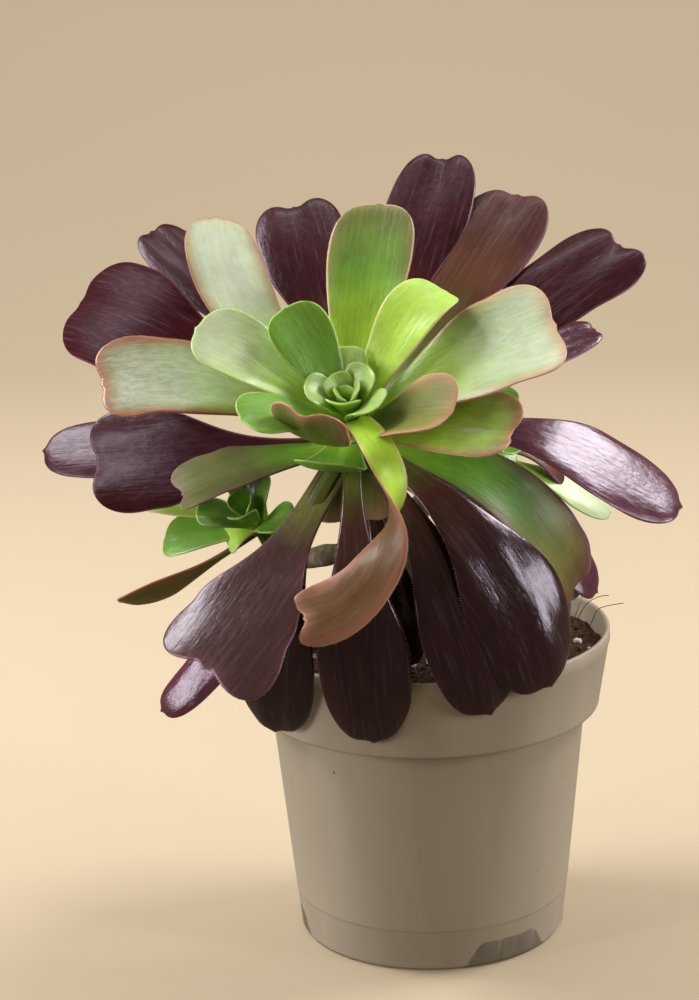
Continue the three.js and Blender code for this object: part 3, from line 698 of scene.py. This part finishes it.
def leafy_piece(name, parts, *nodes, slot):
    """One piece of many leaves. Its skins are the purple one and the green one."""
    mesh, quads = joined(name, parts)
    for key in ("tint", "edge_tint", "rim", "wax", "frost"):
        kind = "FLOAT_COLOR" if "tint" in key else "FLOAT"
        set_attribute(mesh, key, kind, np.concatenate([p[key] for p in parts]))
    uv = np.concatenate([p["uv"] for p in parts])[quads.ravel()]
    mesh.uv_layers.new(name="blade").data.foreach_set("uv", uv.astype(np.float32).ravel())
    mesh.materials.append(SKIN["purple"])
    mesh.materials.append(SKIN["green"])
    mesh.polygons.foreach_set("material_index", np.concatenate([p["skin"] for p in parts]).astype(np.int32))
    piece = link_object(name, mesh)
    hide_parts(*nodes)
    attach(piece, "root")
    return piece


def fineness(row):
    """How many columns a leaf has across, and how many rows along its blade and along its tip."""
    if row["width"] >= 23:
        return 25, 30, 12
    return (19, 26, 10) if row["length"] > 30 else (13, 14, 7)


def drawn(rows, head, first_seed=0):
    return [leaf_mesh(row, head, seed, *fineness(row)) for seed, row in enumerate(rows, first_seed)]


big_head = head_frame(HEAD)
mature_parts = drawn(MATURE, big_head)
mature_core = core_mesh(big_head, CORE["foot"], CORE["split"], STEM["radii"][-1], CORE["radius"], "khaki")
leafy_piece("mature_leaf_head", [*mature_parts, mature_core], "mature_leaves", slot="purple_leaf")

bud_rows = spiral_leaves(**BUD, tone="bud")
young_parts = drawn([*YOUNG, *bud_rows], big_head, 40)
young_radius = CORE["radius"] * 0.9
young_core = core_mesh(big_head, CORE["split"], CORE["top"], young_radius, CORE["top_radius"], "lime")
leafy_piece("young_leaf_head", [*young_parts, young_core], "young_leaves", slot="green_leaf")

shoot_parts = {}
for index, (name, shoot) in enumerate(SHOOTS.items()):
    shoot_head = head_frame(shoot["head"])
    spiral = shoot["spiral"]
    rows = [{**row, "out": SHOOT_ROOT} for row in shoot["leaves"]]
    rows += spiral_leaves(**spiral, tone="green")
    shoot_parts[name] = drawn(rows, shoot_head, 80 + 20 * index)
    core = core_mesh(shoot_head, shoot["core"], spiral["down"] - 1, 3, 1.8, "grass")
    leafy_piece(f"{name}_leaves", [*shoot_parts[name], core], name, slot="shoot_leaf")


# Fringe of short hairs on the leaf margins

def socket_id(tree, name):
    return next(item.identifier for item in tree.interface.items_tree if item.name == name)


def node_group(name, numbers):
    """An empty geometry node tree with a geometry input, named numbers and a geometry output."""
    tree = bpy.data.node_groups.new(name, "GeometryNodeTree")
    tree.interface.new_socket("Geometry", in_out="INPUT", socket_type="NodeSocketGeometry")
    for key, value in numbers.items():
        kind = "NodeSocketInt" if isinstance(value, int) else "NodeSocketFloat"
        tree.interface.new_socket(key, in_out="INPUT", socket_type=kind).default_value = value
    tree.interface.new_socket("Geometry", in_out="OUTPUT", socket_type="NodeSocketGeometry")
    return tree, tree.nodes.new("NodeGroupInput"), tree.nodes.new("NodeGroupOutput")


def finish_group(tree, instances, material, output):
    """Realises the instances, gives them their material and ends the tree."""
    solid = add_node(tree, "GeometryNodeRealizeInstances", {"Geometry": instances}).outputs[0]
    done = add_node(tree, "GeometryNodeSetMaterial", {"Geometry": solid, "Material": material}).outputs[0]
    tree.links.new(done, output.inputs[0])


def random_in(tree, low, high, seed, kind="FLOAT"):
    """A random number or vector from low to high."""
    first, result = {"FLOAT": (2, 1), "FLOAT_VECTOR": (0, 0)}[kind]
    sockets = {first: low, first + 1: high, "Seed": seed}
    return add_node(tree, "FunctionNodeRandomValue", sockets, data_type=kind).outputs[result]


def fringe_tree():
    tree, given, output = node_group("fringe", {"Spacing": 0.7 * MM, "Length": 0.5 * MM, "Root": 0.05 * MM})
    margin, spacing, root, length = [given.outputs[key] for key in ("Geometry", "Spacing", "Root", "Length")]
    curve = add_node(tree, "GeometryNodeMeshToCurve", {"Mesh": margin}).outputs[0]
    spaced = add_node(tree, "GeometryNodeResampleCurve", {"Curve": curve, "Length": spacing}, mode="LENGTH")
    sizes = {"Vertices": 3, "Radius Top": 0.0, "Radius Bottom": root, "Depth": length}
    cone = add_node(tree, "GeometryNodeMeshCone", sizes, fill_type="NONE").outputs[0]
    named = add_node(tree, "GeometryNodeInputNamedAttribute", {"Name": "outward"}, data_type="FLOAT_VECTOR")
    outward = named.outputs[0]
    stray = random_in(tree, (-0.35, -0.35, -0.35), (0.35, 0.35, 0.35), 5, "FLOAT_VECTOR")
    aim = add_node(tree, "ShaderNodeVectorMath", {0: outward, 1: stray}, operation="ADD").outputs[0]
    turn = add_node(tree, "FunctionNodeAlignRotationToVector", {"Vector": aim}, axis="Z").outputs[0]
    size = random_in(tree, 0.55, 1.1, 9)
    placed = {"Points": spaced.outputs[0], "Instance": cone, "Rotation": turn, "Scale": size}
    hairs = add_node(tree, "GeometryNodeInstanceOnPoints", placed)
    finish_group(tree, hairs.outputs[0], FRINGE, output)
    return tree


def fringe_piece(name, parts, tree, spacing):
    """Hairs along the margins of these leaves, made plain meshes."""
    points, edges, outward = [], [], []
    for part in parts:
        if part["margin"] is None:
            continue
        line, away = part["margin"]
        start = len(points)
        points.extend((line * MM).tolist())
        outward.extend(away.tolist())
        edges.extend((start + k, start + k + 1) for k in range(len(line) - 1))
    mesh = bpy.data.meshes.new(name)
    mesh.from_pydata(points, edges, [])
    set_attribute(mesh, "outward", "FLOAT_VECTOR", outward)
    piece = link_object(name, mesh)
    modifier = piece.modifiers.new("fringe", "NODES")
    modifier.node_group = tree
    modifier[socket_id(tree, "Spacing")] = spacing * MM
    baked(piece)
    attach(piece, "root")
    return piece


fringe = fringe_tree()
fringe_piece("mature_leaf_fringe", mature_parts, fringe, 0.9)
fringe_piece("young_leaf_fringe", young_parts, fringe, 0.6)
for name, parts in shoot_parts.items():
    fringe_piece(f"{name}_fringe", parts, fringe, 0.7)


# Stem

def curve_points(path, steps):
    """Points of a smooth line through a few."""
    knots = np.array([path[0], *path, path[-1]], float)
    points = []
    for i in range(steps + 1):
        place = min(i / steps * (len(path) - 1), len(path) - 1 - 1e-9)
        k, t = int(place), place % 1
        a, b, c, d = knots[k:k + 4]
        points.append(0.5 * (2 * b + (c - a) * t + (2 * a - 5 * b + 4 * c - d) * t**2
                             + (3 * b - a - 3 * c + d) * t**3))
    return np.array(points)


def stem_tube(path, radii, steps, sides):
    """A knotty tube along a path, through radii at even steps."""
    points = curve_points(path, steps)
    along = unit(np.gradient(points, axis=0))
    shares = np.linspace(0, 1, len(points))
    radius = np.interp(shares, np.linspace(0, 1, len(radii)), radii)
    turns = shares * 2 * math.pi * steps
    radius = radius + 0.35 * np.sin(turns / 7) + 0.2 * np.sin(turns / 4.3)
    return tube_mesh(list(zip(points, along, radius)), sides, "khaki")


def make_stem():
    neck = [below(big_head, CORE["foot"] + 10), below(big_head, CORE["foot"])]
    parts = [stem_tube([STEM["foot"], STEM["waist"], STEM["bend"], *neck], STEM["radii"], 60, 28)]
    for shoot in SHOOTS.values():
        head = head_frame(shoot["head"])
        path = [STEM["bend"], shoot["stalk"], below(head, shoot["core"] + 12), below(head, shoot["core"])]
        parts.append(stem_tube(path, BRANCH_RADII, 36, 20))
    piece = link_object("forked_stem", joined("forked_stem", parts)[0])
    remesh = piece.modifiers.new("skin", "REMESH")
    remesh.mode, remesh.voxel_size, remesh.use_smooth_shade = "VOXEL", 0.55 * MM, True
    ease = piece.modifiers.new("ease", "SMOOTH")
    ease.factor, ease.iterations = 0.5, 6
    baked(piece)
    piece.data.materials.append(BARK)
    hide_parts("stem")
    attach(piece, "root")


make_stem()


# Pot

def ring_faces(sides, rings):
    """Faces of a closed solid whose points are its lower and upper pole and then its rings, upwards."""
    faces = []
    for k in range(sides):
        after = (k + 1) % sides
        faces.append((0, 2 + after, 2 + k))
        for ring in range(rings - 1):
            a = 2 + ring * sides
            faces.append((a + k, a + after, a + sides + after, a + sides + k))
        last = 2 + (rings - 1) * sides
        faces.append((last + k, last + after, 1))
    return faces


def ring_points(radius, height, sides):
    turns = np.arange(sides) * 2 * math.pi / sides
    return [(radius * math.cos(a), radius * math.sin(a), height) for a in turns]


def lathe(name, profile, sides=240):
    """A solid of revolution from a profile of (radius, height) in mm that starts and ends on the axis."""
    profile = np.array(profile, float)
    points = [(0, 0, profile[0][1]), (0, 0, profile[-1][1])]
    rings = profile[1:-1]
    for radius, height in rings:
        points += ring_points(radius, height, sides)
    mesh = bpy.data.meshes.new(name)
    mesh.from_pydata((np.array(points) * MM).tolist(), [], ring_faces(sides, len(rings)))
    return mesh


def arc(middle, radius, start, stop, steps=6):
    """Points of an arc in a profile, from start to stop degrees."""
    turns = np.radians(np.linspace(start, stop, steps + 1))
    return [(middle[0] + radius * math.cos(a), middle[1] + radius * math.sin(a)) for a in turns]


def pocket_turn(index):
    return math.radians(NOTCH["first"] - 90 + 360 / NOTCH["count"] * index)


def pocket(grow, index):
    """One of the pockets that step in from the pot's foot, grown by a wall."""
    height, foot, top = NOTCH["height"] + grow, NOTCH["foot"] / 2 + grow, NOTCH["top"] / 2
    shape = [(-foot, -1), (foot, -1), (top + grow, height - 2)]
    shape += [(top - 2, height), (2 - top, height), (-top - grow, height - 2)]
    near, far = POT["foot"] - NOTCH["depth"] - grow, POT["body"] + 1
    c, s = math.cos(pocket_turn(index)), math.sin(pocket_turn(index))
    points = [(reach * c - x * s, reach * s + x * c, z) for reach in (near, far) for x, z in shape]
    n = len(shape)
    faces = [tuple(range(n - 1, -1, -1)), tuple(range(n, 2 * n))]
    faces += [(k, (k + 1) % n, (k + 1) % n + n, k + n) for k in range(n)]
    mesh = bpy.data.meshes.new("pocket")
    mesh.from_pydata((np.array(points) * MM).tolist(), [], [face[::-1] for face in faces])
    return mesh


def drain(index):
    """A drain hole through the roof of a pocket."""
    turn, radius, deep = pocket_turn(index), NOTCH["drain"], 2
    reach = POT["foot"] - NOTCH["depth"] / 2 - 1
    mesh = lathe("drain", [(0, -deep), (radius, -deep), (radius, deep), (0, deep)], 24)
    spot = Vector((reach * math.cos(turn), reach * math.sin(turn), NOTCH["height"] + POT["wall"] / 2))
    mesh.transform(Matrix.Translation(spot * MM))
    return mesh


def cut(piece, tools):
    """Cuts closed meshes out of a piece."""
    for tool in tools:
        cutter = link_object("cutter", tool)
        modifier = piece.modifiers.new("cut", "BOOLEAN")
        modifier.operation, modifier.solver, modifier.object = "DIFFERENCE", "MANIFOLD", cutter
        baked(piece)
        bpy.data.objects.remove(cutter)
    return piece


def make_pot():
    height, rim, wall, floor = POT["height"], POT["rim"], POT["wall"], POT["floor"]
    foot, body, band = POT["foot"], POT["body"], POT["band_foot"]
    line, proud = 14, 0.15
    above_line = foot + SLOPE * line
    outside = [(0, 0), (foot - 1, 0), (foot, 1), (foot + SLOPE, 2), (above_line - SLOPE / 2, line - 0.5)]
    outside += [(above_line, line), (above_line + proud, line + 0.3), (above_line + proud, line + 0.6)]
    outside += [(body - 0.1, LEDGE - 1), (body, LEDGE - 0.5), (body + 0.6, LEDGE)]
    outside += arc((band - 1.2, LEDGE + 1.2), 1.2, -90, -8)
    outside += [(band + proud, LEDGE + 2.4), (rim - 0.4, height - 5), (rim, height - 4)]
    outside += arc((rim - 0.8, height - 0.8), 0.8, 0, 162, 9)
    inner_foot = foot - wall + SLOPE * floor
    inside = [(0, floor), (inner_foot - 1, floor), (inner_foot + SLOPE, floor + 1), (body - wall, LEDGE + 1)]
    inside += [(band - wall, LEDGE + 3), (rim - wall, height - 1.6)]
    inside += [(rim - wall, height + 1), (0, height + 1)]
    piece = link_object("grower_pot", lathe("grower_pot", [*outside, (0, height)]))
    hollow = link_object("hollow", lathe("hollow", inside))
    places = range(NOTCH["count"])
    cut(hollow, [pocket(wall, i) for i in places])
    cut(piece, [hollow.data, *[pocket(0, i) for i in places]])
    cut(piece, [drain(i) for i in places])
    bpy.data.objects.remove(hollow)
    bevel = piece.modifiers.new("edges", "BEVEL")
    crease = math.radians(38)
    bevel.width, bevel.segments = 0.3 * MM, 2
    bevel.limit_method, bevel.angle_limit = "ANGLE", crease
    baked(piece)
    piece.data.shade_smooth()
    piece.data.set_sharp_from_angle(angle=crease)
    piece.data.materials.clear()
    piece.data.materials.append(PLASTIC)
    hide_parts("pot")
    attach(piece, "root")


make_pot()


# Soil with crumbs, perlite and fibres

def soil_height(x, y):
    """The height of the mix: a low swell with lumps and crumbs."""
    swell = 2 * (1 - np.hypot(x, y) / 57)
    lumps = np.sin(x / 3.1 + 1.3) * np.cos(y / 3.7)
    crumbs = 0.6 * np.sin(x / 1.3 + y / 1.9) + 0.4 * np.cos(x / 0.9 - y / 1.1)
    return SOIL_TOP + swell + 0.7 * (lumps + crumbs)


def make_soil():
    wall, bottom = POT["wall"], POT["floor"] + 12
    rim_slope = (POT["rim"] - POT["band_foot"]) / POT["band"]
    edge = POT["band_foot"] + rim_slope * (SOIL_TOP - LEDGE) - wall - 0.1
    sides, rings = 120, 44
    turns = np.arange(sides) * 2 * math.pi / sides
    points = [(0, 0, bottom), (0, 0, float(soil_height(0, 0)))]
    foot = POT["foot"] - wall
    low = [(foot - NOTCH["depth"] - 2, bottom), (foot + SLOPE * 12 - 8, bottom + 2)]
    low += [(POT["body"] - wall - 0.5, LEDGE), (POT["band_foot"] - wall - 0.4, LEDGE + 4)]
    for radius, z in low:
        points += ring_points(radius, z, sides)
    for ring in range(rings, 0, -1):
        radius = edge * ring / rings
        x, y = radius * np.cos(turns), radius * np.sin(turns)
        points += list(zip(x, y, soil_height(x, y)))
    mesh = bpy.data.meshes.new("potting_mix")
    mesh.from_pydata((np.array(points) * MM).tolist(), [], ring_faces(sides, len(low) + rings))
    mesh.shade_smooth()
    mesh.materials.append(PEAT)
    piece = link_object("potting_mix", mesh)
    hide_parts("soil")
    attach(piece, "root")


def scatter_tree(name, shape, material):
    """Points spread over a surface, each with a turned and stretched copy of a small shape."""
    tree, given, output = node_group(name, {"Density": 1.0, "Smallest": 0.3, "Largest": 1.0, "Seed": 1})
    surface, density, seed = [given.outputs[key] for key in ("Geometry", "Density", "Seed")]
    scattered_on = {"Mesh": surface, "Density": density, "Seed": seed}
    spread = add_node(tree, "GeometryNodeDistributePointsOnFaces", scattered_on)
    if shape == "grain":
        ball = {"Radius": 1.0 * MM, "Subdivisions": 2}
        smooth_grain = add_node(tree, "GeometryNodeMeshIcoSphere", ball).outputs[0]
        dents = random_in(tree, (-0.22 * MM,) * 3, (0.22 * MM,) * 3, 4, "FLOAT_VECTOR")
        dented = {"Geometry": smooth_grain, "Offset": dents}
        copied = add_node(tree, "GeometryNodeSetPosition", dented).outputs[0]
        most = (6.28, 6.28, 6.28)
    else:
        bow = add_node(tree, "GeometryNodeCurvePrimitiveBezierSegment", {
            "Resolution": 7,
            "Start": (-3 * MM, 0, 0),
            "Start Handle": (-1 * MM, 1.6 * MM, 0.6 * MM),
            "End Handle": (1 * MM, -1.2 * MM, 1.2 * MM),
            "End": (3.4 * MM, 0.5 * MM, 0),
        }).outputs[0]
        circle = {"Resolution": 5, "Radius": 0.13 * MM}
        ring = add_node(tree, "GeometryNodeCurvePrimitiveCircle", circle).outputs[0]
        swept = {"Curve": bow, "Profile Curve": ring, "Fill Caps": True}
        copied = add_node(tree, "GeometryNodeCurveToMesh", swept).outputs[0]
        most = (0.7, 0.7, 6.28)
    turn = random_in(tree, (0, 0, 0), most, 2, "FLOAT_VECTOR")
    size = random_in(tree, given.outputs["Smallest"], given.outputs["Largest"], 6)
    placed = {"Points": spread.outputs[0], "Instance": copied, "Rotation": turn, "Scale": size}
    copies = add_node(tree, "GeometryNodeInstanceOnPoints", placed)
    finish_group(tree, copies.outputs[0], material, output)
    return tree


def soil_disc(reach):
    """A thin sheet that follows the soil's surface, for scattering on."""
    count = 60
    grid = np.linspace(-reach, reach, count)
    x, y = np.meshgrid(grid, grid, indexing="ij")
    points = np.stack([x, y, soil_height(x, y) + 0.1], -1).reshape(-1, 3)
    faces = []
    for i in range(count - 1):
        for j in range(count - 1):
            if math.hypot(grid[i] + 0.5, grid[j] + 0.5) < reach - 1.5:
                a = i * count + j
                faces.append((a, a + count, a + count + 1, a + 1))
    return mesh_of("soil_sheet", points, faces)


def scattered(name, tree, density, smallest, largest, seed):
    piece = link_object(name, soil_disc(SOIL_REACH))
    modifier = piece.modifiers.new("scatter", "NODES")
    modifier.node_group = tree
    for key, value in (("Density", density), ("Smallest", smallest), ("Largest", largest), ("Seed", seed)):
        modifier[socket_id(tree, key)] = value
    baked(piece)
    piece.data.shade_smooth()
    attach(piece, "root")


make_soil()
scattered("peat_crumbs", scatter_tree("crumbs", "grain", CRUMB), 90000.0, 0.3, 1.1, 11)
scattered("perlite_grains", scatter_tree("perlite", "grain", PERLITE), 6000.0, 0.5, 1.7, 12)
scattered("coir_fibres", scatter_tree("fibres", "strand", FIBRE), 40000.0, 0.5, 1.3, 13)


# Fine roots that hang over the pot's rim

def make_roots():
    lines = [
        [(50, 14, 97), (54, 15, 103.5), (58, 15, 106), (61.5, 14, 106.8)],
        [(50, 18, 97), (53, 22, 103), (55, 26, 107), (57, 30, 108)],
        [(54, 8, 97), (57, 8.5, 103.2), (60, 9, 104.6), (66, 10, 105.2)],
    ]
    radius, parts = 0.14, []
    for line in lines:
        places = curve_points(line, 24)
        along = unit(np.gradient(places, axis=0))
        parts.append(tube_mesh([(place, way, radius) for place, way in zip(places, along)], 6, "tan"))
    mesh, _ = joined("fine_roots", parts)
    mesh.materials.append(FIBRE)
    piece = link_object("fine_roots", mesh)
    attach(piece, "root")


make_roots()


# Floor and light

def make_floor():
    """A pale floor that rises into a low round backdrop."""
    flat, rise, sides = 0.95, 0.95, 96
    profile = [(0.3, 0), (flat, 0)]
    steps = np.linspace(0.08, math.pi / 2, 16)
    profile += [(flat + rise * math.sin(a), rise * (1 - math.cos(a))) for a in steps]
    points = [(0, 0, 0)]
    for radius, height in profile:
        points += ring_points(radius, height, sides)
    faces = []
    for k in range(sides):
        after = (k + 1) % sides
        faces.append((0, 1 + k, 1 + after))
        for ring in range(len(profile) - 1):
            a = 1 + ring * sides
            faces.append((a + k, a + sides + k, a + sides + after, a + after))
    mesh = bpy.data.meshes.new("floor")
    mesh.from_pydata(points, [], faces)
    mesh.shade_smooth()
    material, tree, shader, where = new_material("pale_floor")
    colour = mixed(tree, noise(tree, where, 3, 2), paint(188, 172, 147), paint(185, 169, 144))
    set_shader(tree, shader, Base_Color=colour, Roughness=0.9, Specular_IOR_Level=0.1)
    mesh.materials.append(material)
    floor = link_object("floor", mesh)
    floor.visible_glossy = False
    floor.visible_diffuse = False


def softbox(name, place, aim, size, power, colour=(1, 1, 1)):
    data = bpy.data.lights.new(name, "AREA")
    data.shape = "RECTANGLE"
    data.size, data.size_y = size
    data.energy = power
    data.color = colour
    lamp = bpy.data.objects.new(name, data)
    lamp.location = place
    lamp.rotation_euler = (Vector(aim) - Vector(place)).to_track_quat("-Z", "Y").to_euler()
    lamp.visible_camera = False
    bpy.context.scene.collection.objects.link(lamp)


def light_studio():
    plant = (-0.02, -0.03, 0.16)
    softbox("left_box", (-0.72, 0.24, 0.82), plant, (0.45, 0.45), 11.0)
    softbox("right_box", (0.74, 0.24, 0.86), plant, (0.45, 0.45), 10.0)
    softbox("left_sliver", (-0.75, -0.42, 0.35), plant, (0.08, 0.45), 2.2)
    softbox("right_sliver", (0.75, -0.42, 0.38), plant, (0.08, 0.45), 2.0)
    softbox("left_strip", (-0.85, -0.16, 0.12), (0, 0, 0.06), (0.25, 0.5), 4.2)
    softbox("right_strip", (0.85, -0.16, 0.12), (0, 0, 0.06), (0.25, 0.5), 3.4)
    softbox("backdrop_box", (0, 0.6, 1.6), (0, 1.9, 0.8), (0.8, 0.5), 20.0)
    world = bpy.data.worlds.new("warm_room")
    world.use_nodes = True
    world.node_tree.nodes["Background"].inputs["Color"].default_value = (*linear((214, 186, 150)), 1)
    world.node_tree.nodes["Background"].inputs["Strength"].default_value = 0.28
    bpy.context.scene.world = world
    bpy.context.scene.view_settings.view_transform = "Standard"


make_floor()
light_studio()
